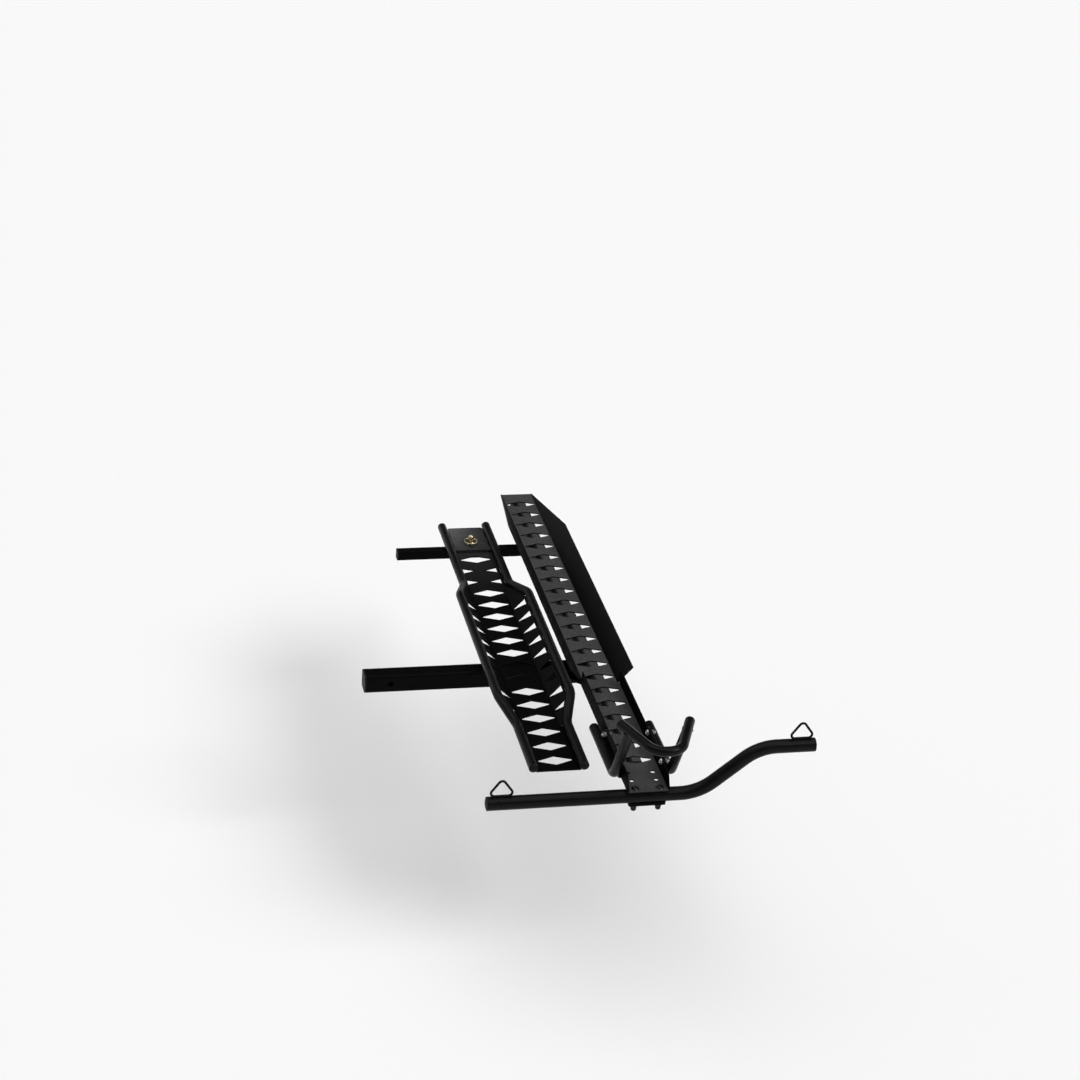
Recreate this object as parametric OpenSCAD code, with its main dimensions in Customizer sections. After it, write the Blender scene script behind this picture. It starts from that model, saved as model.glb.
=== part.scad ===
// Hitch motorcycle carrier with its loading ramp stowed flat beside the wheel track.
// Millimetres. +X points away from the vehicle, +Y along the track, +Z up.
// The origin is the middle of the hitch-pin hole in the shank.

/* [Hitch arm] */
// Outer side of the square hitch arm
arm_side = 50; // [46:1:60]
// Wall of the hitch arm
arm_wall = 4; // [3:0.5:6]
// Outer corner radius of the square tubes
arm_corner = 8; // [6:0.5:9]
// Diameter of the hitch-pin hole
pin_hole_d = 16; // [13:0.5:20]
// Shank length past the hitch-pin hole
shank_tail = 65; // [45:1:100]
// Distance from the hitch pin to the middle of the wheel track
arm_reach = 540; // [480:1:640]
// Leg of the gussets between the arm and the spine
gusset_leg = 55; // [40:1:80]
// Thickness of the gussets
gusset_t = 6; // [4:1:10]

/* [Track spine] */
// Width of the spine tube under the track
spine_w = 40; // [34:1:50]
// Wall of the spine tube
spine_wall = 3; // [2:0.5:5]
// Length of the spine in front of the hitch arm
spine_near = 500; // [460:1:520]
// Length of the spine behind the hitch arm
spine_far = 1000; // [900:1:1010]
// Depth that a cap goes into its tube
cap_depth = 16; // [8:1:25]
// Thickness of a square cap's head
cap_head = 4; // [2:0.5:6]

/* [Wheel track] */
// Sheet thickness of the track
track_sheet = 3; // [2:0.5:4]
// Width of the rear floor
rear_floor_w = 90; // [84:1:100]
// Far end of the rear floor, behind the hitch arm
rear_far = 1020; // [1015:1:1080]
// Place where the front section meets the rear one, in front of the hitch arm
section_at = 117; // [106:1:128]
// How far the rear walls flare outward
flare_out = 39; // [25:1:44]
// How far the rear walls rise above the floor
flare_up = 46; // [30:1:60]
// Length over which the rear walls taper to the floor at the far end
taper_len = 295; // [200:1:350]
// Outer width of the front section
front_w = 106; // [102:1:120]
// Near end of the front section, in front of the hitch arm
front_near = 646; // [640:1:680]
// Height of the front walls above the floor
front_wall_h = 38; // [38:1:50]
// How far the front walls' ends slope back
front_slope = 26; // [10:1:40]

/* [Cut-outs] */
// Distance between two rows of diamonds in the track
track_pitch = 69; // [60:1:80]
// First row in the track, in front of the hitch arm
track_first = 497; // [480:1:505]
// Width of a diamond in the track
track_diamond_w = 82; // [60:1:84]
// Length of a diamond in the track
track_diamond_l = 36; // [18:1:44]
// Rows of diamonds in the ramp
ramp_row_count = 17; // [15:1:18]
// Distance from the ramp's near end to its first row
ramp_first = 53; // [45:1:65]
// Distance from the ramp's last row to the deck's far end
ramp_last = 41; // [35:1:60]
// Width of a diamond in the ramp
ramp_diamond_w = 85; // [60:1:100]
// Length of a diamond in the ramp
ramp_diamond_l = 42; // [30:1:48]
// Blunt height of a diamond's two tips
diamond_tip = 7; // [4:1:12]
// Width of the wing slots at the rail
slot_wide = 32; // [18:1:36]
// Width of the wing slots at the floor
slot_narrow = 6; // [4:1:12]
// Sheet left round a wing slot
slot_margin = 4; // [3:0.5:5]

/* [Tie-down bar] */
// Outer diameter of the tie-down bar
bar_d = 35; // [30:1:40]
// Wall of the tie-down bar
bar_wall = 2.5; // [2:0.5:4]
// Middle of the bar, in front of the hitch arm
bar_at = 628; // [624:1:630]
// Reach of the bar towards the vehicle from the track's middle
bar_inner = 400; // [330:1:450]
// Reach of the bar away from the vehicle from the track's middle
bar_outer = 416; // [380:1:500]
// Distance from the track's middle to the first bend's corner
bar_bend_at = 131; // [115:1:150]
// Rise of the bar's outer end
bar_rise = 120; // [110:1:150]
// Angle of the bar's two bends
bar_angle = 40; // [36:1:46]
// Centreline radius of the bar's bends
bar_bend = 125; // [90:5:140]
// Rod diameter of the tie loops
loop_rod = 6; // [5:0.5:8]
// Base of a tie loop between its centreline's corners
loop_base = 70; // [60:1:84]
// Height of a tie loop to its centreline's corner
loop_h = 48; // [40:1:60]
// Bend radius of a tie loop
loop_bend = 9; // [7:0.5:11]
// Distance from the bar's end to the middle of its tie loop
loop_inset = 36; // [35:1:60]

/* [Bar clamp] */
// Length of the saddle along the bar
saddle_len = 94; // [88:1:110]
// Width of the saddle
saddle_w = 28; // [26:1:40]
// Saddle thickness below the bar
saddle_t = 5; // [4:0.5:10]
// How far the saddle reaches up the bar's sides
saddle_lap = 3; // [2:0.5:8]
// Distance between the two clamp bolts
clamp_spacing = 62; // [54:1:64]
// Distance between the bolt positions along the track
clamp_step = 36; // [28:1:36]
// Thread diameter of the clamp bolts
clamp_bolt_d = 10; // [8:1:12]
// Head diameter of the clamp bolts
clamp_head_d = 20; // [17:0.5:22]
// Head height of the clamp bolts
clamp_head_h = 5; // [4:0.5:6]
// Thread that stands out below the clamp's nuts
bolt_spare = 6; // [3:1:12]
// Clearance round a bolt in its hole
bolt_clear = 0.5; // [0.3:0.1:1]

/* [Wheel chock] */
// Diameter of the chock's tubes
chock_d = 25; // [20:1:26]
// Wall of the chock's tubes
chock_wall = 2; // [1.5:0.5:3]
// Height of the chock's rails above the floor
chock_rail_up = 8; // [4:1:8]
// Rear end of the chock's rails, in front of the hitch arm
chock_rear = 347; // [330:1:370]
// Corner of the chock's rails, in front of the hitch arm
chock_corner = 572; // [560:1:585]
// Bend radius between rail and upright
chock_bend = 35; // [30:1:50]
// Rear ends of the hoop, in front of the hitch arm
hoop_rear = 640; // [630:1:655]
// Front of the hoop, in front of the hitch arm
hoop_front = 771; // [750:1:790]
// Height of the hoop's rear ends above the floor
hoop_rear_up = 193; // [180:1:230]
// Height of the hoop's front above the floor
hoop_front_up = 191; // [170:1:215]
// Width of the hoop at its rear ends
hoop_rear_w = 172; // [166:1:190]
// Width of the hoop at its front corners
hoop_front_w = 64; // [60:1:90]
// Bend radius of the hoop's corners
hoop_bend = 44; // [25:1:46]
// Thickness of the chock's lugs
lug_t = 6; // [4:0.5:8]
// First chock bolt, in front of the hitch arm
chock_bolt_a = 420; // [410:1:430]
// Distance between the chock bolts
chock_bolt_step = 138; // [110:1:142]
// Height of the chock bolts above the floor
chock_bolt_up = 29; // [29:0.5:29.5]
// Thread diameter of the chock bolts
chock_bolt_d = 8; // [6:1:8]
// Head diameter of the chock bolts
dome_d = 17; // [13:0.5:17]
// Head height of the chock bolts
dome_h = 6; // [4:0.5:7]

/* [Ramp arm and stud] */
// Side of the square ramp arm
ramp_arm_side = 28; // [24:1:34]
// Wall of the ramp arm
ramp_arm_wall = 3; // [2:0.5:4]
// Corner radius of the ramp arm
ramp_arm_corner = 4; // [3:0.5:6]
// Distance from the hitch arm to the ramp arm
ramp_arm_y = 689; // [684:1:710]
// Distance from the hitch pin to the ramp arm's free end
ramp_arm_end = 130; // [100:1:200]
// Diameter of the stud
stud_d = 16; // [12:1:18]
// Height of the stud above the ramp arm
stud_h = 40; // [37:1:44]
// Clearance round the stud in the tab's hole
stud_clear = 2; // [1:0.1:3]

/* [Ramp] */
// Clear space between the ramp's widest stretch and the track
ramp_gap = 8.5; // [6:0.5:40]
// Near end of the ramp, in front of the hitch arm
ramp_near = 533; // [528:1:560]
// Far end of the ramp, behind the hitch arm
ramp_far = 808; // [800:1:850]
// Diameter of the ramp's rails
rail_d = 24; // [20:1:26]
// Wall of the ramp's rails
rail_wall = 2; // [1.5:0.5:3]
// Distance between the rails' middles at the ramp's ends
rail_narrow = 129; // [126:1:140]
// Distance between the rails' middles where the ramp is wide
rail_wide = 191; // [182:1:200]
// Rise of the rails where the ramp is wide
rail_rise = 26; // [20:1:32]
// Near end of the wide stretch, in front of the hitch arm
wide_near = 217; // [210:1:230]
// Far end of the wide stretch, behind the hitch arm
wide_far = 337; // [330:1:350]
// Length of each slanted stretch of rail
kink_len = 101; // [90:1:110]
// Bend radius of the rails
rail_bend = 80; // [40:5:100]
// Sheet thickness of the ramp
ramp_sheet = 3; // [2:0.5:4]
// Setback of the deck's near edge from the ramp's end
deck_setback = 6; // [2:1:14]
// Far end of the deck, behind the hitch arm
deck_far = 649; // [645:1:655]
// Step from the deck up to the tab
tab_step = 9; // [8:0.5:12]
// Far end of the tab, behind the hitch arm
tab_far = 790; // [770:1:796]
// Corner chamfer of the tab
tab_chamfer = 6; // [4:1:14]
// Distance from the ramp's middle to the foot of a wing
wing_foot = 48; // [46:0.5:52]
// Clear space between the ramp and what it rests on
rest_gap = 0.3; // [0.2:0.1:0.5]

/* [Linch pin] */
// Height of the linch pin above the tab
pin_up = 8.5; // [8:0.5:10]
// Diameter of the linch pin
pin_d = 6; // [5:0.5:7]
// Clearance round the linch pin in the stud
pin_clear = 0.08; // [0.05:0.01:0.1]
// Pin length past the stud's middle
pin_tip = 12; // [10:0.5:13]
// Diameter of the pin's head
pin_head_d = 11; // [10.5:0.5:12]
// Length of the pin's head
pin_head_l = 10; // [9:0.5:11]
// Centreline radius of the ring
ring_r = 18; // [17.5:0.5:20]
// Wire diameter of the ring
ring_wire = 3; // [2.5:0.5:3]

/* [Hidden] */
$fn = 48;
joint_clear = 0.05;
slant_clear = 0.5;
seam = 0.02;
cut_over = 1;
black = [0.10, 0.10, 0.11];
plastic_black = [0.06, 0.06, 0.06];
zinc = [0.75, 0.76, 0.78];
yellow_zinc = [0.80, 0.68, 0.32];

// Levels
floor_low = arm_side/2;
floor_top = floor_low + track_sheet;
bar_z = floor_low - bar_d/2;
chock_rail_z = floor_top + chock_rail_up;
chock_bolt_z = floor_top + chock_bolt_up;
ramp_arm_z = floor_low - ramp_arm_side/2;
ramp_low = floor_low + rest_gap;
rail_z = ramp_low + rail_d/2;
tab_low = ramp_low + tab_step;
pin_z = tab_low + ramp_sheet + pin_up;

// Places across and along the track
spine_left = arm_reach - spine_w/2;
front_half = front_w/2;
chock_half = front_half + lug_t + chock_d/2;
track_side = max(rear_floor_w/2 + flare_out, chock_half + chock_d/2);
ramp_x = arm_reach - track_side - ramp_gap - rail_wide/2 - rail_d/2;
clamp_x = [arm_reach - clamp_spacing/2, arm_reach + clamp_spacing/2];
chock_bolts_y = [-chock_bolt_a, -chock_bolt_a - chock_bolt_step];

// Half width of the deck, whose top edges meet the round of the rails
deck_half = rail_narrow/2 - sqrt(pow(rail_d/2, 2) - pow(rail_d/2 - ramp_sheet, 2)) - joint_clear;
tab_half = rail_narrow/2 - rail_d/2 - joint_clear;

// Stretch of the ramp that has wings
wing_near = -wide_near - kink_len;
wing_far = wide_far + kink_len;

// Rows of cut-outs
track_rows = floor((rear_far + track_first - track_diamond_l/2 - 20)/track_pitch);
ramp_rows = round(ramp_row_count) - 1;
ramp_row_at = ramp_first - ramp_near;
ramp_pitch = (deck_far - ramp_last - ramp_row_at)/ramp_rows;
bare_rows = [ramp_rows - 2, ramp_rows - 1];

// Directions and places
function unit(v) = v/norm(v);
function turn(u, v) = acos(max(-1, min(1, u*v)));
function side_of(u) = abs(u[2]) < 0.9 ? unit(cross(u, [0, 0, 1])) : [1, 0, 0];
function place(ex, ey, ez, at) = [
    [ex[0], ey[0], ez[0], at[0]],
    [ex[1], ey[1], ez[1], at[1]],
    [ex[2], ey[2], ez[2], at[2]],
    [0, 0, 0, 1]
];

// Straight length that a bend takes up on each side of its corner
function bend_take(u, v, bend) = bend*tan(turn(u, v)/2);

// Round tube section, or a solid one where the wall is 0
module ring_section(r, wall) {
    difference() {
        circle(r);
        if (wall > 0) circle(r - wall);
    }
}

// Straight run of tube from a to b
module tube_run(a, b, r, wall) {
    u = unit(b - a);
    e = side_of(u);
    multmatrix(place(e, cross(u, e), u, a))
        linear_extrude(norm(b - a)) ring_section(r, wall);
}

// Bend of tube at corner b, from direction u to direction v
module tube_bend(b, u, v, bend, r, wall) {
    n = unit(v - u*(u*v));
    centre = b - u*bend_take(u, v, bend) + n*bend;
    multmatrix(place(-n, u, cross(u, n), centre))
        rotate_extrude(angle = turn(u, v)) translate([bend, 0]) ring_section(r, wall);
}

// Tube bent along a row of corners; a closed row ends where it starts.
// Runs and bends stay a hair apart, so that each is an exact solid of its own.
module bent_tube(points, bend, r, wall, closed = false) {
    n = len(points);
    function at(i) = points[(i + n) % n];
    function dir(i) = unit(at(i + 1) - at(i));
    function has_bend(i) = closed || (i > 0 && i < n - 1);
    function take(i) = has_bend(i) ? bend_take(dir(i - 1), dir(i), bend) + seam : 0;
    for (i = [0:closed ? n - 1 : n - 2])
        tube_run(at(i) + dir(i)*take(i), at(i + 1) - dir(i)*take((i + 1) % n), r, wall);
    for (i = [0:n - 1]) if (has_bend(i))
        tube_bend(at(i), dir(i - 1), dir(i), bend, r, wall);
}

// Rectangle with round corners, centred
module round_rect(w, h, r) {
    square([w - 2*r, h], center = true);
    square([w, h - 2*r], center = true);
    for (x = [-1, 1], y = [-1, 1]) translate([x*(w/2 - r), y*(h/2 - r)]) circle(r);
}

// Section of a square or rectangular tube
module box_section(w, h, wall, corner) {
    difference() {
        round_rect(w, h, corner);
        round_rect(w - 2*wall, h - 2*wall, corner - wall/2);
    }
}

// Cap of a square tube: head on z = 0, body inside the tube below it
module box_cap(w, h, wall, corner) {
    inner = 2*wall + 2*joint_clear;
    linear_extrude(cap_head) round_rect(w, h, corner);
    translate([0, 0, -cap_depth])
        linear_extrude(cap_depth + cap_head/2) round_rect(w - inner, h - inner, corner - wall/2);
}

// Cap of a round tube: a low dome outside and a plain body inside
module round_cap(d, wall, rise) {
    r = d/2;
    bore = r - wall - joint_clear;
    dome = (r*r + rise*rise)/(2*rise);
    rotate_extrude() {
        intersection() {
            translate([0, rise - dome]) circle(dome);
            square([r, rise]);
        }
        translate([0, -cap_depth]) square([bore, cap_depth + joint_clear]);
    }
}

// Hexagon nut on a round washer, with its bore, standing on z = 0
module nut_and_washer(d) {
    washer_t = d/6;
    nut_h = 0.8*d;
    difference() {
        union() {
            cylinder(h = washer_t, d = 2*d);
            translate([0, 0, washer_t]) cylinder(h = nut_h, d = 1.6*d/cos(30), $fn = 6);
        }
        translate([0, 0, -cut_over])
            cylinder(h = washer_t + nut_h + 2*cut_over, d = d + 2*joint_clear);
    }
}

// Length of thread that a nut and its washer need, with the end that stands out
function nut_take(d) = d/6 + 0.8*d + 0.4*d;

// Flat diamond with blunt tips, longer across the track than along it
module diamond(w, l) {
    x = w/2;
    y = l/2;
    t = diamond_tip/2;
    polygon([[-x, -t], [0, -y], [x, -t], [x, t], [0, y], [-x, t]]);
}

// Hitch arm: the shank for the receiver and the arm to the spine, in one length of tube
module hitch_arm() {
    color(black) difference() {
        translate([-shank_tail, 0, 0]) rotate([0, 90, 0])
            linear_extrude(shank_tail + spine_left) box_section(arm_side, arm_side, arm_wall, arm_corner);
        rotate([90, 0, 0]) cylinder(h = arm_side + 2*cut_over, d = pin_hole_d, center = true);
    }
}

module hitch_arm_cap() {
    color(plastic_black) translate([-shank_tail, 0, 0]) rotate([0, -90, 0])
        box_cap(arm_side, arm_side, arm_wall, arm_corner);
}

// Flat gussets in the two corners between the arm and the spine
module arm_gussets() {
    color(black) for (side = [0, 1]) mirror([0, side, 0])
        translate([spine_left, arm_side/2, -gusset_t/2]) linear_extrude(gusset_t)
            polygon([
                [0, 0], [-gusset_leg, 0], [-gusset_leg, gusset_t],
                [-gusset_t, gusset_leg], [0, gusset_leg]
            ]);
}

// Spine: the beam that carries the track from below
module track_spine() {
    color(black) translate([arm_reach, -spine_near, 0]) rotate([-90, 0, 0])
        linear_extrude(spine_near + spine_far) box_section(spine_w, arm_side, spine_wall, arm_corner);
}

module spine_caps() {
    color(plastic_black) {
        translate([arm_reach, -spine_near, 0]) rotate([90, 0, 0])
            box_cap(spine_w, arm_side, spine_wall, arm_corner);
        translate([arm_reach, spine_far, 0]) rotate([-90, 0, 0])
            box_cap(spine_w, arm_side, spine_wall, arm_corner);
    }
}

// All rows of diamonds along the track, as cutters
module track_diamonds() {
    for (row = [0:track_rows])
        translate([arm_reach, -track_first + row*track_pitch, floor_low - cut_over])
            linear_extrude(track_sheet + 2*cut_over) diamond(track_diamond_w, track_diamond_l);
}

module rear_floor() {
    color(black) difference() {
        translate([arm_reach - rear_floor_w/2, -section_at, floor_low])
            cube([rear_floor_w, section_at + rear_far, track_sheet]);
        track_diamonds();
    }
}

// Flared wall: a flat plate that leans out from the floor's edge and tapers at its far end
module rear_wall(side) {
    length = norm([flare_out, flare_up]);
    along = [side*flare_out, 0, flare_up]/length;
    across = cross([0, 1, 0], along);
    edge = arm_reach + side*rear_floor_w/2;
    color(black) difference() {
        multmatrix(place([0, 1, 0], along, across, [edge, 0, floor_low + track_sheet/2]))
            linear_extrude(track_sheet, center = true) polygon([
                [-section_at, -track_sheet], [rear_far, -track_sheet], [rear_far, track_sheet],
                [rear_far - taper_len, length], [-section_at, length]
            ]);
        translate([arm_reach - rear_floor_w/2, -section_at - cut_over, -arm_side])
            cube([rear_floor_w, section_at + rear_far + 2*cut_over, 3*arm_side]);
        translate([arm_reach - front_w, -section_at - cut_over, -arm_side])
            cube([2*front_w, section_at + rear_far + 2*cut_over, arm_side + floor_low]);
    }
}

module rear_wall_left() {
    rear_wall(-1);
}

module rear_wall_right() {
    rear_wall(1);
}

// Front section's floor, with two spare bolt positions behind the bar's own
module front_floor() {
    color(black) difference() {
        translate([arm_reach - front_half, -front_near, floor_low])
            cube([front_w, front_near - section_at, track_sheet]);
        track_diamonds();
        for (x = clamp_x, step = [0:2]) translate([x, -bar_at + step*clamp_step, floor_low - cut_over])
            cylinder(h = track_sheet + 2*cut_over, d = clamp_bolt_d + 2*bolt_clear);
    }
}

// Upright wall of the front section, with a sloped end and the chock's bolt holes
module front_wall(side) {
    x = side < 0 ? arm_reach - front_half : arm_reach + front_half - track_sheet;
    color(black) difference() {
        translate([x, 0, floor_top]) rotate([90, 0, 90]) linear_extrude(track_sheet) polygon([
            [-front_near, 0], [-section_at, 0], [-section_at, front_wall_h],
            [-front_near + front_slope, front_wall_h]
        ]);
        for (y = chock_bolts_y) translate([x - cut_over, y, chock_bolt_z]) rotate([0, 90, 0])
            cylinder(h = track_sheet + 2*cut_over, d = chock_bolt_d + 2*bolt_clear);
    }
}

module front_wall_left() {
    front_wall(-1);
}

module front_wall_right() {
    front_wall(1);
}

// Corners of the tie-down bar's centreline
bar_run = bar_rise/tan(bar_angle);
bar_points = [
    [arm_reach - bar_inner, -bar_at, bar_z],
    [arm_reach + bar_bend_at, -bar_at, bar_z],
    [arm_reach + bar_bend_at + bar_run, -bar_at, bar_z + bar_rise],
    [arm_reach + bar_outer, -bar_at, bar_z + bar_rise]
];

// Tie-down bar: one bent tube across the track's near end
module tie_bar() {
    color(black) difference() {
        bent_tube(bar_points, bar_bend, bar_d/2, bar_wall);
        for (x = clamp_x) translate([x, -bar_at, bar_z])
            cylinder(h = bar_d + 2*cut_over, d = clamp_bolt_d + 2*bolt_clear, center = true);
    }
}

module tie_bar_caps() {
    color(plastic_black) {
        translate(bar_points[0] - [seam, 0, 0]) rotate([0, -90, 0]) round_cap(bar_d, bar_wall, bar_d/10);
        translate(bar_points[3] + [seam, 0, 0]) rotate([0, 90, 0]) round_cap(bar_d, bar_wall, bar_d/10);
    }
}

// Closed triangle of round rod that stands on the bar
module tie_loop(x, z) {
    base = z + bar_d/2 + loop_rod/2;
    left = [x - loop_base/2, -bar_at, base];
    right = [x + loop_base/2, -bar_at, base];
    top = [x, -bar_at, base + loop_h];
    color(black) bent_tube([left, top, right], loop_bend, loop_rod/2, 0, closed = true);
}

module tie_loop_left() {
    tie_loop(bar_points[0][0] + loop_inset, bar_z);
}

module tie_loop_right() {
    tie_loop(bar_points[3][0] - loop_inset, bar_z + bar_rise);
}

saddle_low = bar_z - bar_d/2 - saddle_t;

// Saddle under the bar, hollowed to its round
module bar_saddle() {
    color(black) difference() {
        translate([arm_reach, -bar_at, saddle_low]) linear_extrude(saddle_t + saddle_lap)
            round_rect(saddle_len, saddle_w, saddle_t);
        translate([arm_reach - saddle_len, -bar_at, bar_z]) rotate([0, 90, 0])
            cylinder(h = 2*saddle_len, d = bar_d + 2*joint_clear);
        for (x = clamp_x) translate([x, -bar_at, saddle_low - cut_over])
            cylinder(h = saddle_t + bar_d, d = clamp_bolt_d + 2*bolt_clear);
    }
}

// Dome-headed bolt: head towards +Z on z = 0, shank towards -Z
module dome_bolt(d, length, head_d, head_h) {
    r = head_d/2;
    dome = (r*r + head_h*head_h)/(2*head_h);
    rotate_extrude() {
        intersection() {
            translate([0, head_h - dome]) circle(dome);
            square([r, head_h]);
        }
        translate([0, -length]) square([d/2, length + head_h/2]);
    }
}

// Two bolts down through the floor, the bar and the saddle
module bar_bolts() {
    length = floor_top - saddle_low + nut_take(clamp_bolt_d) + bolt_spare;
    color(black) for (x = clamp_x) translate([x, -bar_at, floor_top])
        dome_bolt(clamp_bolt_d, length, clamp_head_d, clamp_head_h);
}

module bar_nuts() {
    color(black) for (x = clamp_x) translate([x, -bar_at, saddle_low]) rotate([180, 0, 0])
        nut_and_washer(clamp_bolt_d);
}

// Corners of the hoop's centreline and the point on it over each upright
function hoop_corner(side, w, y, up) = [arm_reach + side*w/2, -y, floor_top + up];
function hoop_end(side) = hoop_corner(side, hoop_rear_w, hoop_rear, hoop_rear_up);
function hoop_turn(side) = hoop_corner(side, hoop_front_w, hoop_front, hoop_front_up);
upright_share = (hoop_rear_w/2 - chock_half)/(hoop_rear_w/2 - hoop_front_w/2);
function upright_top(side) = hoop_end(side) + (hoop_turn(side) - hoop_end(side))*upright_share;

// Hoop: a U of tube that slopes down to its front, against the tyre
module chock_hoop() {
    color(black) bent_tube([hoop_end(-1), hoop_turn(-1), hoop_turn(1), hoop_end(1)],
        hoop_bend, chock_d/2, chock_wall);
}

// Side frame: a rail along the wall and an upright that leans forward to the hoop
module chock_side(side) {
    x = arm_reach + side*chock_half;
    along = unit(hoop_turn(side) - hoop_end(side))*chock_d;
    color(black) difference() {
        bent_tube([[x, -chock_rear, chock_rail_z], [x, -chock_corner, chock_rail_z], upright_top(side)],
            chock_bend, chock_d/2, chock_wall);
        tube_run(upright_top(side) - along, upright_top(side) + along, chock_d/2 + joint_clear, 0);
    }
}

module chock_side_left() {
    chock_side(-1);
}

module chock_side_right() {
    chock_side(1);
}

// Caps on the rails' rear ends and the hoop's two ends
module chock_caps() {
    color(plastic_black) for (side = [-1, 1]) {
        translate([arm_reach + side*chock_half, -chock_rear, chock_rail_z]) rotate([-90, 0, 0])
            round_cap(chock_d, chock_wall, chock_d/4);
        u = unit(hoop_end(side) - hoop_turn(side));
        e = side_of(u);
        multmatrix(place(e, cross(u, e), u, hoop_end(side) + u*seam))
            round_cap(chock_d, chock_wall, chock_d/4);
    }
}

// Lug: a flat plate welded along the rail and bolted to the front wall
module chock_lug(side) {
    x = side < 0 ? arm_reach - front_half - lug_t : arm_reach + front_half;
    low = chock_rail_z - chock_d/2;
    high = floor_top + front_wall_h;
    length = chock_bolt_step + 2*dome_d;
    color(black) difference() {
        translate([x, -chock_bolt_a - chock_bolt_step/2, (low + high)/2]) rotate([0, 90, 0])
            linear_extrude(lug_t) round_rect(high - low, length, lug_t);
        for (y = chock_bolts_y) translate([x - cut_over, y, chock_bolt_z]) rotate([0, 90, 0])
            cylinder(h = lug_t + 2*cut_over, d = chock_bolt_d + 2*bolt_clear);
    }
}

module chock_lug_left() {
    chock_lug(-1);
}

module chock_lug_right() {
    chock_lug(1);
}

module chock_bolts() {
    length = track_sheet + lug_t + nut_take(chock_bolt_d);
    inside = front_half - track_sheet;
    color(zinc) for (y = chock_bolts_y, side = [-1, 1])
        translate([arm_reach + side*inside, y, chock_bolt_z]) rotate([0, -90*side, 0])
            dome_bolt(chock_bolt_d, length, dome_d, dome_h);
}

module chock_nuts() {
    outside = front_half + lug_t;
    color(zinc) for (y = chock_bolts_y) {
        translate([arm_reach - outside, y, chock_bolt_z]) rotate([0, -90, 0]) nut_and_washer(chock_bolt_d);
        translate([arm_reach + outside, y, chock_bolt_z]) rotate([0, 90, 0]) nut_and_washer(chock_bolt_d);
    }
}

// Ramp arm: a light square tube from the spine towards the vehicle, level with the hitch arm's top
module ramp_arm() {
    color(black) translate([ramp_arm_end, ramp_arm_y, ramp_arm_z]) rotate([0, 90, 0])
        linear_extrude(spine_left - ramp_arm_end)
            box_section(ramp_arm_side, ramp_arm_side, ramp_arm_wall, ramp_arm_corner);
}

module ramp_arm_cap() {
    color(plastic_black) translate([ramp_arm_end, ramp_arm_y, ramp_arm_z]) rotate([0, -90, 0])
        box_cap(ramp_arm_side, ramp_arm_side, ramp_arm_wall, ramp_arm_corner);
}

// Stud on the ramp arm, drilled along the ramp for the linch pin
module ramp_stud() {
    r = stud_d/2;
    color(yellow_zinc) difference() {
        translate([ramp_x, ramp_arm_y, floor_low]) rotate_extrude() {
            square([r, stud_h - r]);
            translate([0, stud_h - r]) intersection() {
                circle(r);
                square(r);
            }
        }
        translate([ramp_x, ramp_arm_y, pin_z]) rotate([90, 0, 0])
            cylinder(h = stud_d + 2*cut_over, d = pin_d + 2*pin_clear, center = true);
    }
}

// Corners of one ramp rail's centreline, near end first
function rail_points(side) = let (
    narrow = ramp_x + side*rail_narrow/2,
    wide = ramp_x + side*rail_wide/2,
    high = rail_z + rail_rise
) [
    [narrow, -ramp_near + rail_d/4, rail_z],
    [narrow, -wide_near - kink_len, rail_z],
    [wide, -wide_near, high],
    [wide, wide_far, high],
    [narrow, wide_far + kink_len, rail_z],
    [narrow, ramp_far - rail_d/4, rail_z]
];

module ramp_rail_left() {
    color(black) bent_tube(rail_points(-1), rail_bend, rail_d/2, rail_wall);
}

module ramp_rail_right() {
    color(black) bent_tube(rail_points(1), rail_bend, rail_d/2, rail_wall);
}

module ramp_rail_caps() {
    color(plastic_black) for (side = [-1, 1]) {
        ends = rail_points(side);
        translate(ends[0]) rotate([90, 0, 0]) round_cap(rail_d, rail_wall, rail_d/4);
        translate(ends[5]) rotate([-90, 0, 0]) round_cap(rail_d, rail_wall, rail_d/4);
    }
}

// Wedge beside the bare middle of the deck, wide towards the rail
module side_wedge() {
    outer = wing_foot;
    inner = ramp_diamond_w/6;
    wide = ramp_diamond_l/3;
    polygon([[inner, -1], [outer, -wide], [outer, wide], [inner, 1]]);
}

// Deck: the ramp's flat floor, narrower between the wings and pierced by a row of diamonds
module ramp_deck() {
    near = -ramp_near + deck_setback;
    color(black) difference() {
        translate([ramp_x - deck_half, near, ramp_low]) cube([2*deck_half, deck_far - near, ramp_sheet]);
        for (side = [-1, 1])
            translate([ramp_x + side*(wing_foot + deck_half)/2, (wing_near + wing_far)/2, ramp_low])
                cube([deck_half - wing_foot, wing_far - wing_near, 4*ramp_sheet], center = true);
        for (row = [0:ramp_rows])
            translate([ramp_x, ramp_row_at + row*ramp_pitch, ramp_low - cut_over])
                linear_extrude(ramp_sheet + 2*cut_over)
                    if (row == bare_rows[0] || row == bare_rows[1]) {
                        side_wedge();
                        mirror([1, 0]) side_wedge();
                    } else diamond(ramp_diamond_w, ramp_diamond_l);
    }
}

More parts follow.
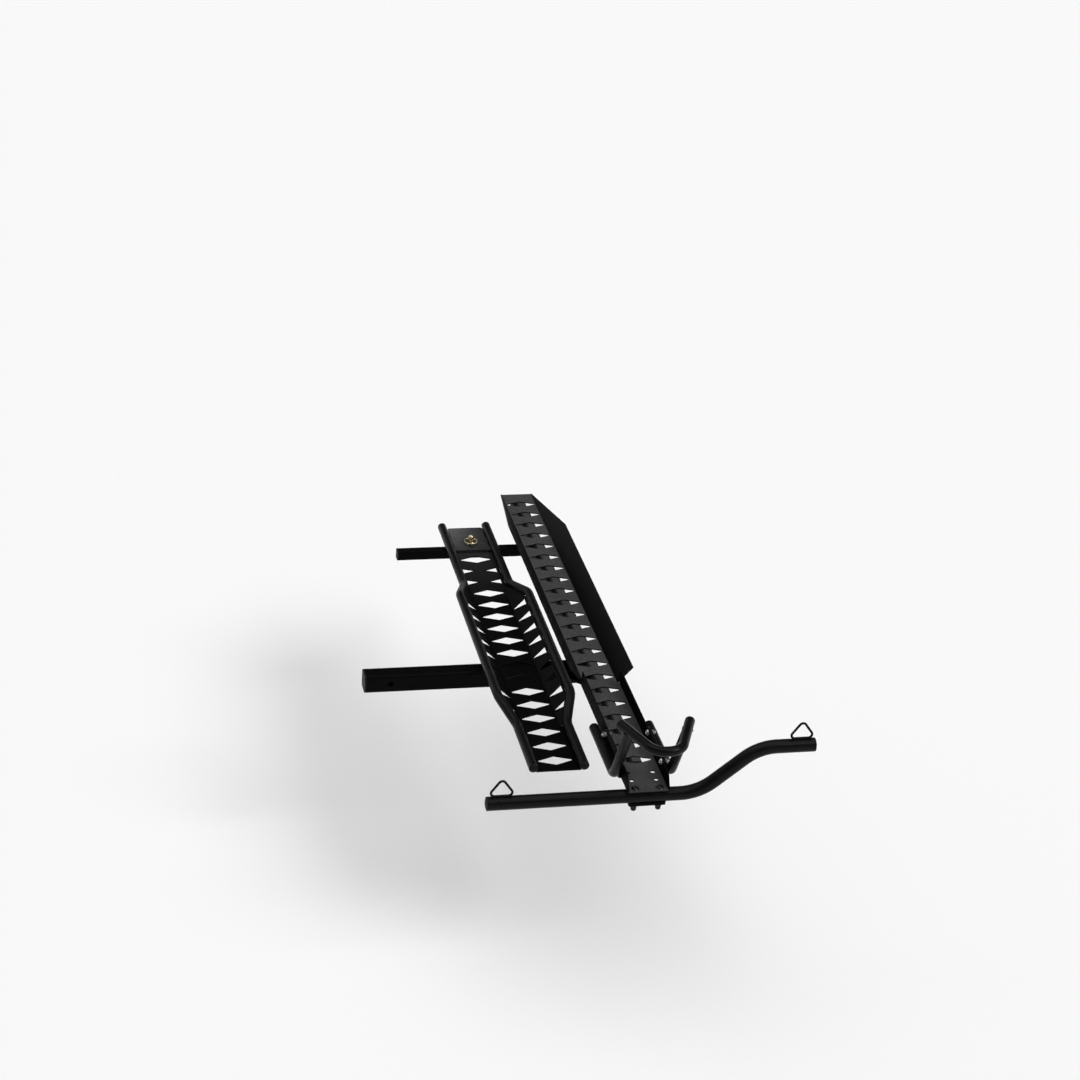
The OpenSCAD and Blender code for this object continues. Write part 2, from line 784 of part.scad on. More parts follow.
// Tab: a riser at the deck's far end and a raised tongue with the stud's hole
module ramp_tab() {
    near = deck_far;
    x = tab_half;
    c = tab_chamfer;
    color(black) difference() {
        union() {
            translate([ramp_x, 0, tab_low]) linear_extrude(ramp_sheet) polygon([
                [-x, near], [x, near], [x, tab_far - c],
                [x - c, tab_far], [-x + c, tab_far], [-x, tab_far - c]
            ]);
            translate([ramp_x - x, near, ramp_low]) cube([2*x, ramp_sheet, tab_step + ramp_sheet/2]);
        }
        translate([ramp_x, ramp_arm_y, tab_low - cut_over])
            cylinder(h = ramp_sheet + 2*cut_over, d = stud_d + 2*stud_clear);
    }
}

// Turn between the rails' straight and slanted stretches, and what its bend takes off the corner
kink_angle = atan(norm([(rail_wide - rail_narrow)/2, rail_rise])/kink_len);
kink_take = rail_bend*tan(kink_angle/2);
kink_pull = rail_bend*(1/cos(kink_angle/2) - 1);

// Wing: a flared plate between the deck's edge and the raised rail, with wedge slots
module ramp_wing(side) {
    from = [wing_foot, ramp_low + ramp_sheet/2];
    to = [rail_wide/2, rail_z + rail_rise];
    up = (to - from)/norm(to - from);
    along = [side*up[0], 0, up[1]];
    across = cross([0, 1, 0], along);
    high = norm(to - from) - rail_d/2 - joint_clear;
    slant_take = rail_d/2/cos(kink_angle) + slant_clear;
    slant_top = norm(to - from) - slant_take;
    slant_foot = ([rail_narrow/2, rail_z] - from)*up - slant_take;
    slant_bend = slant_top - kink_take*(slant_top - slant_foot)/kink_len;
    margin = slot_margin/cos(kink_angle);
    color(black) difference() {
        multmatrix(place([0, 1, 0], along, across, [ramp_x + side*from[0], 0, from[1]]))
            linear_extrude(ramp_sheet, center = true) difference() {
                polygon([
                    [wing_near, -ramp_sheet], [wing_far, -ramp_sheet], [wing_far, slant_foot],
                    [wide_far + kink_take, slant_bend],
                    [wide_far, high - 1.2*kink_pull], [wide_far - kink_take, high],
                    [-wide_near + kink_take, high], [-wide_near, high - 1.2*kink_pull],
                    [-wide_near - kink_take, slant_bend], [wing_near, slant_foot]
                ]);
                intersection() {
                    for (row = [0:ramp_rows])
                        wing_slot(ramp_row_at + (row + 0.5)*ramp_pitch, high - slot_margin);
                    polygon([
                        [wing_near, 0], [wing_far, 0], [wing_far, slant_foot - margin],
                        [wide_far, slant_top - margin], [-wide_near, slant_top - margin],
                        [wing_near, slant_foot - margin]
                    ]);
                }
            }
        translate([ramp_x - wing_foot, wing_near - cut_over, -arm_side])
            cube([2*wing_foot, wing_far - wing_near + 2*cut_over, 3*arm_side]);
        translate([ramp_x - rail_wide, wing_near - cut_over, -arm_side])
            cube([2*rail_wide, wing_far - wing_near + 2*cut_over, arm_side + ramp_low]);
    }
}

// One slot of a wing, narrow at the foot, where the wing is high enough for it
module wing_slot(y, top) {
    if (y > -wide_near - kink_len/2 && y < wide_far) translate([y, 0]) polygon([
        [-slot_narrow/2, slot_margin], [slot_narrow/2, slot_margin],
        [slot_wide/2, top], [-slot_wide/2, top]
    ]);
}

module ramp_wing_left() {
    ramp_wing(-1);
}

module ramp_wing_right() {
    ramp_wing(1);
}

// Bow of the ring inside the head's hole, and the hole that clears it at every angle
ring_bow = ring_r - sqrt(ring_r*ring_r - pin_head_d*pin_head_d/4);
ring_hole_d = ring_wire + 2*ring_bow + 0.6;

// Linch pin: a shank through the stud and a drilled head for the ring
module linch_pin() {
    pivot = ramp_arm_y - ring_r;
    chamfer = pin_d/5;
    r = pin_head_d/2;
    tip = ring_r + pin_tip;
    head = pin_head_l/2;
    color(yellow_zinc) difference() {
        translate([ramp_x, pivot, pin_z]) rotate([-90, 0, 0]) rotate_extrude() polygon([
            [0, -head], [r - chamfer, -head], [r, -head + chamfer], [r, head - chamfer], [r - chamfer, head],
            [pin_d/2, head], [pin_d/2, tip - chamfer], [pin_d/2 - chamfer, tip], [0, tip]
        ]);
        translate([ramp_x, pivot, pin_z]) rotate([0, 90, 0])
            cylinder(h = pin_head_d + 2*cut_over, d = ring_hole_d, center = true);
    }
}

module linch_ring() {
    color(yellow_zinc) translate([ramp_x, ramp_arm_y, pin_z])
        rotate_extrude() translate([ring_r, 0]) circle(ring_wire/2, $fn = 24);
}

hitch_arm();
hitch_arm_cap();
arm_gussets();
track_spine();
spine_caps();
rear_floor();
rear_wall_left();
rear_wall_right();
front_floor();
front_wall_left();
front_wall_right();
tie_bar();
tie_bar_caps();
tie_loop_left();
tie_loop_right();
bar_saddle();
bar_bolts();
bar_nuts();
chock_side_left();
chock_side_right();
chock_hoop();
chock_caps();
chock_lug_left();
chock_lug_right();
chock_bolts();
chock_nuts();
ramp_arm();
ramp_arm_cap();
ramp_stud();
ramp_deck();
ramp_tab();
ramp_wing_left();
ramp_wing_right();
ramp_rail_left();
ramp_rail_right();
ramp_rail_caps();
linch_pin();
linch_ring();
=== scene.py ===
from math import acos, cos, pi, radians, sin, sqrt

import bpy
from mathutils import Matrix, Vector


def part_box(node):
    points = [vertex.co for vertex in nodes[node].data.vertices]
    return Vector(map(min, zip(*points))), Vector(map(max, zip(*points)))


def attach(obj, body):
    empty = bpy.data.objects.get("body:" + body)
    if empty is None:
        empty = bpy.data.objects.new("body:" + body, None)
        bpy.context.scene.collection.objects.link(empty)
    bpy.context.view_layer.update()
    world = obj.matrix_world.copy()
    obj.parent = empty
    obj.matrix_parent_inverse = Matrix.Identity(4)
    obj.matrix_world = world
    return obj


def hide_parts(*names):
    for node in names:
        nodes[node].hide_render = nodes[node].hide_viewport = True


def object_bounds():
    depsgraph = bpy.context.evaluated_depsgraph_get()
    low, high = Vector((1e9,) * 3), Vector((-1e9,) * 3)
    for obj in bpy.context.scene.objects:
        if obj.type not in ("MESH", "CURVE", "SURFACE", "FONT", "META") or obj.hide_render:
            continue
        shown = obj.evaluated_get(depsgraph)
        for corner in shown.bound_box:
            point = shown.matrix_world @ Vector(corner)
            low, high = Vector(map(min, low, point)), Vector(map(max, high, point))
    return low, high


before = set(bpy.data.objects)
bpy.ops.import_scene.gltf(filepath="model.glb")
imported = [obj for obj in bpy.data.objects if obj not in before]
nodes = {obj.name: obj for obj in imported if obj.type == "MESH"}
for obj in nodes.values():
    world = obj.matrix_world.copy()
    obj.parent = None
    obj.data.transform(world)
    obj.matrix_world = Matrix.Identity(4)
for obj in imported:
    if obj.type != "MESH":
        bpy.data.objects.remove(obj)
cad_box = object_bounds()

# Hitch arm with its gussets: steel box tube and plate, cut and welded, then powder coated in deep black.
# The coat has a fine orange peel, thins on the edges and is a little uneven in gloss.
deep_dark = (0.0010, 0.0010, 0.0011, 1)
deep_light = (0.0030, 0.0030, 0.0033, 1)
coat_worn = (0.050, 0.051, 0.054, 1)
coat_edge = 0.0011
edge_turn = (0.75, 0.985)
edge_samples = 6
cloud_scale = 7
speckle_scale = 420
chip_scale = 160
smear_scale = 45
peel_scale = 620
peel_height = 0.00012
tone_span = (0.35, 0.65)
chip_span = (0.42, 0.62)
noise_span = (0.3, 0.7)
mix_share = 0
value_first = 2
value_second = 3
colour_first = 6
colour_second = 7
colour_out = 2


def link(material, source, output, target, socket):
    """Joins one node's output to another's input."""
    material.node_tree.links.new(source.outputs[output], target.inputs[socket])


def noise_of(material, scale, detail):
    """A noise on the piece's own Object coordinates, in metres."""
    place = material.node_tree.nodes.new("ShaderNodeTexCoord")
    noise = material.node_tree.nodes.new("ShaderNodeTexNoise")
    noise.inputs["Scale"].default_value = scale
    noise.inputs["Detail"].default_value = detail
    link(material, place, "Object", noise, "Vector")
    return noise


def range_of(material, source, output, low, high, to_low, to_high):
    """The source's value, spread from one range to another."""
    spread = material.node_tree.nodes.new("ShaderNodeMapRange")
    spread.inputs["From Min"].default_value = low
    spread.inputs["From Max"].default_value = high
    spread.inputs["To Min"].default_value = to_low
    spread.inputs["To Max"].default_value = to_high
    link(material, source, output, spread, "Value")
    return spread


def blend_of(material, source, output, first, second):
    """A colour between two, by the source's value. The Mix node's sockets share names and go by number."""
    blend = material.node_tree.nodes.new("ShaderNodeMix")
    blend.data_type = "RGBA"
    blend.inputs[colour_first].default_value = first
    blend.inputs[colour_second].default_value = second
    link(material, source, output, blend, mix_share)
    return blend


def bevel_of(material, radius):
    """Edges rounded for the normal."""
    bevel = material.node_tree.nodes.new("ShaderNodeBevel")
    bevel.samples = edge_samples
    bevel.inputs["Radius"].default_value = radius
    return bevel


def edge_of(material, bevel, low, high):
    """How far each place lies on a rounded edge."""
    flat = material.node_tree.nodes.new("ShaderNodeNewGeometry")
    turn = material.node_tree.nodes.new("ShaderNodeVectorMath")
    turn.operation = "DOT_PRODUCT"
    link(material, bevel, "Normal", turn, 0)
    link(material, flat, "Normal", turn, 1)
    return range_of(material, turn, "Value", low, high, 1, 0)


def bump_of(material, source, output, strength, distance, bevel=None):
    """A bump from the source's value, over the rounded edges where there are any."""
    bump = material.node_tree.nodes.new("ShaderNodeBump")
    bump.inputs["Strength"].default_value = strength
    bump.inputs["Distance"].default_value = distance
    link(material, source, output, bump, "Height")
    if bevel:
        link(material, bevel, "Normal", bump, "Normal")
    return bump


def new_finish(name):
    """A new material and its shader."""
    material = bpy.data.materials.new(name)
    material.use_nodes = True
    return material, material.node_tree.nodes["Principled BSDF"]


def fade_of(material, output, axis, start, end):
    """From nothing to all along one axis of the piece's place or of its faces' normal."""
    place = material.node_tree.nodes.new("ShaderNodeTexCoord")
    split = material.node_tree.nodes.new("ShaderNodeSeparateXYZ")
    link(material, place, output, split, "Vector")
    return range_of(material, split, axis, start, end, 0, 1)


def product_of(material, first, second):
    """The product of two nodes' first outputs."""
    both = material.node_tree.nodes.new("ShaderNodeMath")
    both.operation = "MULTIPLY"
    link(material, first, 0, both, 0)
    link(material, second, 0, both, 1)
    return both


def powder_coat(name, dark, light, shine, gloss, grain, peel, base=(), fades=()):
    """Black coat between two tones: its shine, range of roughness, share of fine grain and orange peel.
    A top coat that doesn't reach all over also has the two tones of the coat beneath, and its fades.
    On the spine, deck and tab the same layer is painted light and shade."""
    material, shader = new_finish(name)
    shader.inputs["Specular IOR Level"].default_value = shine
    cloud = noise_of(material, cloud_scale, detail=5)
    speckle = noise_of(material, speckle_scale, detail=2)
    mottle = material.node_tree.nodes.new("ShaderNodeMix")
    mottle.inputs[mix_share].default_value = grain
    link(material, cloud, "Fac", mottle, value_first)
    link(material, speckle, "Fac", mottle, value_second)
    tone = range_of(material, mottle, 0, *tone_span, 0, 1)
    body = blend_of(material, tone, "Result", dark, light)
    if base:
        share = fade_of(material, *fades[0])
        for fade in fades[1:]:
            share = product_of(material, share, fade_of(material, *fade))
        beneath = blend_of(material, tone, "Result", *base)
        top = body
        body = blend_of(material, share, 0, dark, light)
        link(material, beneath, colour_out, body, colour_first)
        link(material, top, colour_out, body, colour_second)
    bevel = bevel_of(material, coat_edge)
    edge = edge_of(material, bevel, *edge_turn)
    chips = noise_of(material, chip_scale, detail=4)
    chipped = range_of(material, chips, "Fac", *chip_span, 0, 1)
    worn = product_of(material, edge, chipped)
    wear = blend_of(material, worn, "Value", dark, coat_worn)
    link(material, body, colour_out, wear, colour_first)
    link(material, wear, colour_out, shader, "Base Color")
    smear = noise_of(material, smear_scale, detail=3)
    sheen = range_of(material, smear, "Fac", *noise_span, *gloss)
    link(material, sheen, "Result", shader, "Roughness")
    pebble = noise_of(material, peel_scale, detail=2)
    bump = bump_of(material, pebble, "Fac", peel, peel_height, bevel)
    link(material, bump, "Normal", shader, "Normal")
    return material


def dress(finish, *names):
    """Gives CAD nodes their finish."""
    for name in names:
        nodes[name].data.materials.clear()
        nodes[name].data.materials.append(finish)


deep_coat = powder_coat("deep_black_coat", deep_dark, deep_light, shine=0.03, gloss=(0.30, 0.42), grain=0.4,
                        peel=0.2)
dress(deep_coat, "hitch_arm", "arm_gussets")

# Weld beads of the arm: each is laid in short steps, which leave a row of overlapping ripples, and is then
# coated with the frame. They run down the arm's sides, across its underside and along both gussets.
bead_width = 0.006
bead_step = 0.0026
bead_high = 0.36
bead_thin = 0.62
bead_tilt = radians(24)


def deselect():
    """Leaves edit mode, with nothing selected."""
    if bpy.context.object and bpy.context.object.mode != "OBJECT":
        bpy.ops.object.mode_set(mode="OBJECT")
    bpy.ops.object.select_all(action="DESELECT")


def join_pieces(name, pieces):
    """One object of several, at the origin."""
    deselect()
    for piece in pieces:
        piece.select_set(True)
    bpy.context.view_layer.objects.active = pieces[0]
    if len(pieces) > 1:
        bpy.ops.object.join()
    pieces[0].name = name
    pieces[0].data.name = name
    return pieces[0]


def weld_ripple(width):
    """One step of a bead: a flat drop, thin along the weld."""
    deselect()
    bpy.ops.mesh.primitive_uv_sphere_add(segments=8, ring_count=5, radius=width / 2)
    drop = bpy.context.object
    bpy.ops.object.mode_set(mode="EDIT")
    bpy.ops.mesh.select_all(action="SELECT")
    bpy.ops.transform.resize(value=(bead_thin, 1, 2 * bead_high))
    bpy.ops.transform.rotate(value=bead_tilt, orient_axis="Y", center_override=(0, 0, 0))
    bpy.ops.object.mode_set(mode="OBJECT")
    bpy.ops.object.shade_smooth()
    return drop


def straight_weld(start, end, out):
    """Places along a straight bead: point, direction of travel and the way out of the corner."""
    start = Vector(start)
    way = Vector(end) - start
    steps = max(2, round(way.length / bead_step))
    return [(start + way * i / steps, way.normalized(), Vector(out)) for i in range(steps + 1)]


def looped_weld(points, outs):
    """Places along a closed bead through the points, each with its own way out."""
    count = len(points)
    return [(p, points[(i + 1) % count] - points[i - 1], outs[i]) for i, p in enumerate(points)]


def weld_beads(name, body, places, width=bead_width):
    """One coated piece of the ripples at all the places, on its body."""
    drop = weld_ripple(width)
    ripples = []
    for point, travel, out in places:
        along = travel.normalized()
        across = out.cross(along).normalized()
        turn = Matrix((along, across, along.cross(across))).transposed().to_4x4()
        ripple = drop.copy()
        ripple.data = drop.data.copy()
        ripple.data.transform(Matrix.Translation(point) @ turn)
        bpy.context.collection.objects.link(ripple)
        ripples.append(ripple)
    bpy.data.objects.remove(drop)
    bead = join_pieces(name, ripples)
    bead.data.materials.append(deep_coat)
    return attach(bead, body)


arm_low, arm_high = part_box("hitch_arm")
gusset_low, gusset_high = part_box("arm_gussets")
arm_corner = 0.008
gusset_inset = 0.004
arm_end = arm_high.x
arm_beads = straight_weld((arm_end, arm_low.y + arm_corner, arm_low.z),
                          (arm_end, arm_high.y - arm_corner, arm_low.z), (0, 0, -1))
for side in (-1, 1):
    y = side * arm_high.y
    gusset_foot = arm_end - gusset_inset
    gusset_tip = gusset_low.x + gusset_inset
    spine_tip = side * (gusset_high.y - gusset_inset)
    for face in (-1, 1):
        z = face * gusset_high.z
        out = Vector((-1, side, 0)).normalized()
        arm_beads += straight_weld((arm_end, y, z + face * bead_width),
                                   (arm_end, y, face * (arm_high.z - arm_corner)), out)
        arm_beads += straight_weld((gusset_tip, y, z), (gusset_foot, y, z),
                                   Vector((0, side, face)).normalized())
        arm_beads += straight_weld((arm_end, y + side * gusset_inset, z), (arm_end, spine_tip, z),
                                   Vector((-1, 0, face)).normalized())
weld_beads("weld_hitch_arm", "carrier", arm_beads)

# Plugs in the open tube ends: moulded black plastic with a fine spark-eroded grain, pushed in by hand.
# They close the shank, both ends of the spine, the ramp arm, the tie-down bar, the chock and the ramp rails.
plug_dark = (0.003, 0.003, 0.003, 1)
plug_light = (0.008, 0.008, 0.008, 1)
plug_shine = 0.15
plug_gloss = (0.52, 0.68)
plug_edge = 0.0008
plug_cloud = 60
plug_grain = 2200
plug_bump = 0.3
plug_grain_height = 0.00008


def moulded_plastic():
    """Black plastic with a clouded tone and a fine grain."""
    material, shader = new_finish("moulded_black_plastic")
    shader.inputs["Specular IOR Level"].default_value = plug_shine
    cloud = noise_of(material, plug_cloud, detail=3)
    tone = range_of(material, cloud, "Fac", *noise_span, 0, 1)
    body = blend_of(material, tone, "Result", plug_dark, plug_light)
    link(material, body, colour_out, shader, "Base Color")
    grain = noise_of(material, plug_grain, detail=2)
    matt = range_of(material, grain, "Fac", *noise_span, *plug_gloss)
    link(material, matt, "Result", shader, "Roughness")
    bevel = bevel_of(material, plug_edge)
    bump = bump_of(material, grain, "Fac", plug_bump, plug_grain_height, bevel)
    link(material, bump, "Normal", shader, "Normal")
    return material


dress(moulded_plastic(), "hitch_arm_cap", "spine_caps", "ramp_arm_cap", "tie_bar_caps", "chock_caps",
      "ramp_rail_caps")

# Wheel track: a spine of box tube under a front channel and a flared rear one, laser cut from 3 mm sheet
# and held to the spine by short welds under the floor. The walls' coat is deep black, dull on the front ones.
# The floor's greyer, textured coat for grip is sprayed from above. On the spine that grey is painted light on
# the top, right of a line near the middle. Its sides and the left part of its top stay black as painted
# shade.
dress(deep_coat, "rear_wall_left", "rear_wall_right")
dull_coat = powder_coat("dull_black_coat", deep_dark, deep_light, shine=0.03, gloss=(0.68, 0.80), grain=0.4,
                        peel=0.5)
dress(dull_coat, "front_wall_left", "front_wall_right")
grip_dark = (0.026, 0.026, 0.027, 1)
grip_light = (0.076, 0.076, 0.078, 1)
spine_low, spine_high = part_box("track_spine")
track_x = (spine_low.x + spine_high.x) / 2
upward = ("Normal", "Z", 0.5, 0.8)
# Painted shade: the spine's top stays black left of this line and turns grey to the right of it.
spine_shade_line = ("Object", "X", track_x - 0.010, track_x - 0.002)
grip_look = dict(dark=grip_dark, light=grip_light, shine=0.08, gloss=(0.55, 0.70), grain=0.8, peel=0.9,
                 base=(deep_dark, deep_light))
dress(powder_coat("textured_coat", **grip_look, fades=[upward]), "rear_floor", "front_floor")
# The spine's coat is painted light and shade: grey on its upward faces right of the line, black on its sides.
dress(powder_coat("spine_coat_painted_shade", **grip_look, fades=[upward, spine_shade_line]), "track_spine")

floor_stitch = 0.032
stitch_count = 7
stitch_sink = 0.0045
stitch_z = spine_high.z - 0.0015
floor_beads = []
for i in range(stitch_count):
    middle = spine_low.y + (spine_high.y - spine_low.y) * (i + 0.5) / stitch_count
    for edge, side in ((spine_low.x, -1), (spine_high.x, 1)):
        x = edge - side * stitch_sink
        out = Vector((side, 0, -1)).normalized()
        floor_beads += straight_weld((x, middle - floor_stitch / 2, stitch_z),
                                     (x, middle + floor_stitch / 2, stitch_z), out)
weld_beads("weld_track_floor", "carrier", floor_beads)

# Tie-down bar: one steel tube with an S-bend, laid across the track's near end, with a strap loop of bent rod
# welded on top near each end, along both sides of its foot. The round tubes have a satin coat.
coat_dark = (0.0020, 0.0020, 0.0022, 1)
coat_light = (0.0050, 0.0050, 0.0055, 1)
coat = powder_coat("satin_powder_coat", coat_dark, coat_light, shine=0.10, gloss=(0.27, 0.38), grain=0.3,
                   peel=0.25)
dress(coat, "tie_bar", "tie_loop_left", "tie_loop_right")

loop_weld = 0.044
loop_bead = 0.0044
loop_side = 0.0028
loop_lift = 0.0002
loop_lean = 0.6
loop_beads = []
for name in ("tie_loop_left", "tie_loop_right"):
    low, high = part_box(name)
    middle = (low + high) / 2
    for side in (-1, 1):
        y = middle.y + side * loop_side
        z = low.z + loop_lift
        out = Vector((0, side, loop_lean)).normalized()
        loop_beads += straight_weld((middle.x - loop_weld / 2, y, z), (middle.x + loop_weld / 2, y, z), out)
weld_beads("weld_tie_loops", "carrier", loop_beads, loop_bead)

# Bar clamp: a steel saddle under the bar, and two long dome-headed bolts down through floor, bar and saddle.
# The bolts, cap nuts and washers have a black zinc plate, with rolled threads and turned chamfers.
dress(deep_coat, "bar_saddle")

black_zinc_dark = (0.012, 0.012, 0.013, 1)
black_zinc_light = (0.032, 0.032, 0.035, 1)
zinc_scale = 220
plate_bump = 0.2
plate_height = 0.00005
smooth_angle = radians(32)
merge_gap = 2e-6
thread_depth = 0.6
crest_start = 0.45
crest_end = 0.55
half_flats = 0.8
chamfer_slope = 0.58
nut_high = 0.8
washer_part = 6


def plated(name, dark, light, fine, dull=(0.22, 0.38)):
    """Plated metal between two tones: the scale of its clouds and its range of roughness."""
    material, shader = new_finish(name)
    shader.inputs["Metallic"].default_value = 1
    cloud = noise_of(material, fine, detail=4)
    tone = range_of(material, cloud, "Fac", *noise_span, 0, 1)
    body = blend_of(material, tone, "Result", dark, light)
    link(material, body, colour_out, shader, "Base Color")
    smear = noise_of(material, 4 * fine, detail=3)
    gloss = range_of(material, smear, "Fac", *noise_span, *dull)
    link(material, gloss, "Result", shader, "Roughness")
    bump = bump_of(material, smear, "Fac", plate_bump, plate_height)
    link(material, bump, "Normal", shader, "Normal")
    return material


black_zinc = plated("black_zinc", black_zinc_dark, black_zinc_light, zinc_scale)


def turned(name, profile, steps=28):
    """A lathe piece about Z from a profile of radius and height, drawn point by point and spun."""
    deselect()
    bpy.ops.mesh.primitive_plane_add(size=0.001)
    piece = bpy.context.object
    piece.name = name
    bpy.ops.object.mode_set(mode="EDIT")
    bpy.ops.mesh.select_all(action="SELECT")
    bpy.ops.mesh.merge(type="CENTER")
    bpy.ops.transform.translate(value=(profile[0][0], 0, profile[0][1]))
    for (r, z), (r_next, z_next) in zip(profile, profile[1:]):
        bpy.ops.mesh.extrude_region_move(TRANSFORM_OT_translate={"value": (r_next - r, 0, z_next - z)})
    bpy.ops.mesh.select_all(action="SELECT")
    bpy.ops.mesh.spin(steps=steps, angle=2 * pi, center=(0, 0, 0), axis=(0, 0, 1))
    bpy.ops.mesh.select_all(action="SELECT")
    bpy.ops.mesh.remove_doubles(threshold=merge_gap)
    bpy.ops.mesh.normals_make_consistent(inside=False)
    bpy.ops.object.mode_set(mode="OBJECT")
    return piece


def cut_with(piece, tool, operation):
    """Cuts the piece with a tool, which is then gone."""
    cut = piece.modifiers.new(operation.lower(), "BOOLEAN")
    cut.operation = operation
    cut.solver = "EXACT"
    cut.object = tool
    deselect()
    bpy.context.view_layer.objects.active = piece
    bpy.ops.object.modifier_apply(modifier=cut.name)
    bpy.data.objects.remove(tool)


def smooth(piece):
    """Smooth shading, with sharp edges kept."""
    deselect()
    piece.select_set(True)
    bpy.context.view_layer.objects.active = piece
    bpy.ops.object.shade_smooth_by_angle(angle=smooth_angle)
    return piece


def thread_profile(d, pitch, start, end):
    """Rolled thread from one height to the next: crest and root in turn, then a chamfered end."""
    root = d / 2 - thread_depth * pitch
    count = int((end - start - pitch) / pitch)
    points = []
    for i in range(count):
        z = start + i * pitch
        points += [(root, z), (d / 2, z + crest_start * pitch), (d / 2, z + crest_end * pitch)]
    return points + [(root, end - pitch), (root, end), (0, end)]


def hexagon(name, d, high):
    """Hexagon body standing on Z = 0, with both faces turned down to a round chamfer."""
    flats = half_flats * d
    points = flats / cos(pi / 6)
    drop = (points - flats) * chamfer_slope
    deselect()
    bpy.ops.mesh.primitive_cylinder_add(vertices=6, radius=points, depth=high, location=(0, 0, high / 2))
    body = bpy.context.object
    body.name = name
    bpy.ops.object.transform_apply(location=True, rotation=True, scale=True)
    outer = points * 1.001
    blank = turned("chamfer_blank", [(0, 0), (flats, 0), (outer, drop), (outer, high - drop), (flats, high),
                                     (0, high)], 48)
    cut_with(body, blank, "INTERSECT")
    return body


def washer(d):
    """Flat washer with softened edges, standing on Z = 0."""
    inner, outer, thick, soft = 0.53 * d, d, d / washer_part, d / 40
    rim = [(inner, soft), (inner + soft, 0), (outer - soft, 0), (outer, soft), (outer, thick - soft)]
    rim += [(outer - soft, thick), (inner + soft, thick), (inner, thick - soft), (inner, soft)]
    return turned("washer", rim)


def nut_on_washer(d):
    """Nut with a countersunk bore on its washer, standing on Z = 0."""
    high = nut_high * d
    bore = 0.503 * d
    sink = 0.07 * d
    nut = hexagon("nut", d, high)
    drill = turned("drill", [(0, -sink), (bore + 2 * sink, -sink), (bore, sink), (bore, high - sink),
                             (bore + 2 * sink, high + sink), (0, high + sink)])
    cut_with(nut, drill, "DIFFERENCE")
    nut.data.transform(Matrix.Translation((0, 0, d / washer_part)))
    return smooth(join_pieces("nut_on_washer", [nut, washer(d)]))


def capped_nut(d, high):
    """Nut on its washer with a cap over the thread's end, as high as given."""
    foot = nut_high * d
    cap = 0.72 * d
    rise = high - d / washer_part - foot
    dome = [(cap, foot)]
    for i in range(9):
        turn = pi / 2 * i / 8
        dome.append((cap * sqrt(cos(turn)), foot + rise * (0.4 + 0.6 * sin(turn))))
    dome[-1] = (0, dome[-1][1])
    shell = turned("cap", dome)
    shell.data.transform(Matrix.Translation((0, 0, d / washer_part)))
    return smooth(join_pieces("cap_nut", [nut_on_washer(d), shell]))


def domed_bolt(name, d, pitch, head, plain, reach, socket=0):
    """Dome-headed bolt on Z = 0, its shank down: a plain neck, then the thread, with or without a socket."""
    head_r, head_high = head
    sphere = (head_r ** 2 + head_high ** 2) / (2 * head_high)
    span = acos((sphere - head_high) / sphere)
    sunk = head_high / 2 if socket else 0
    profile = [(0, head_high - sunk)]
    if socket:
        profile.append((socket, head_high - sunk))
    for i in range(1, 11):
        radius = sphere * sin(span * i / 10)
        if radius > socket:
            profile.append((radius, head_high - sphere * (1 - cos(span * i / 10))))
    profile += [(d / 2, 0), (d / 2, -plain)]
    return smooth(turned(name, profile + [(r, -z) for r, z in thread_profile(d, pitch, plain, reach)]))


def place_copies(name, model, places, finish, replaced):
    """Copies of one fastener, turned from Z to each axis, as one piece in place of a CAD node."""
    copies = []
    for point, axis in places:
        turn = Vector((0, 0, 1)).rotation_difference(Vector(axis)).to_matrix().to_4x4()
        copy = model.copy()
        copy.data = model.data.copy()
        copy.data.transform(Matrix.Translation(point) @ turn)
        bpy.context.collection.objects.link(copy)
        copies.append(copy)
    bpy.data.objects.remove(model)
    piece = join_pieces(name, copies)
    piece.data.materials.append(finish)
    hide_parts(replaced)
    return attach(piece, "carrier")


clamp_d = 0.010
clamp_pitch = 0.0015
clamp_spacing = 0.062
clamp_head = (0.010, 0.005)
clamp_thread = 0.034
cap_wall = 0.0015
bolt_low, bolt_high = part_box("bar_bolts")
clamp_at = (bolt_low + bolt_high) / 2
clamp_seat = bolt_high.z - clamp_head[1]
clamp_end = bolt_low.z
clamp_reach = clamp_seat - clamp_end - cap_wall
clamp_neck = clamp_reach - clamp_thread
clamp_bolt = domed_bolt("clamp_bolt", clamp_d, clamp_pitch, clamp_head, clamp_neck, clamp_reach)
clamp_x = [clamp_at.x - clamp_spacing / 2, clamp_at.x + clamp_spacing / 2]
seats = [((x, clamp_at.y, clamp_seat), (0, 0, 1)) for x in clamp_x]
place_copies("clamp_bolts", clamp_bolt, seats, black_zinc, "bar_bolts")
saddle_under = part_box("bar_nuts")[1].z
seats = [((x, clamp_at.y, saddle_under), (0, 0, -1)) for x in clamp_x]
clamp_nut = capped_nut(clamp_d, saddle_under - clamp_end)
place_copies("clamp_nuts", clamp_nut, seats, black_zinc, "bar_nuts")

# Wheel chock: two side frames of bent tube along the channel's walls, and a hoop across their tops that stops
# the tyre. The uprights are coped to the hoop and welded all round, and the lugs along the side rails.
# Bright zinc plated dome bolts hold the lugs to the walls.
dress(coat, "chock_side_left", "chock_side_right", "chock_hoop", "chock_lug_left", "chock_lug_right")

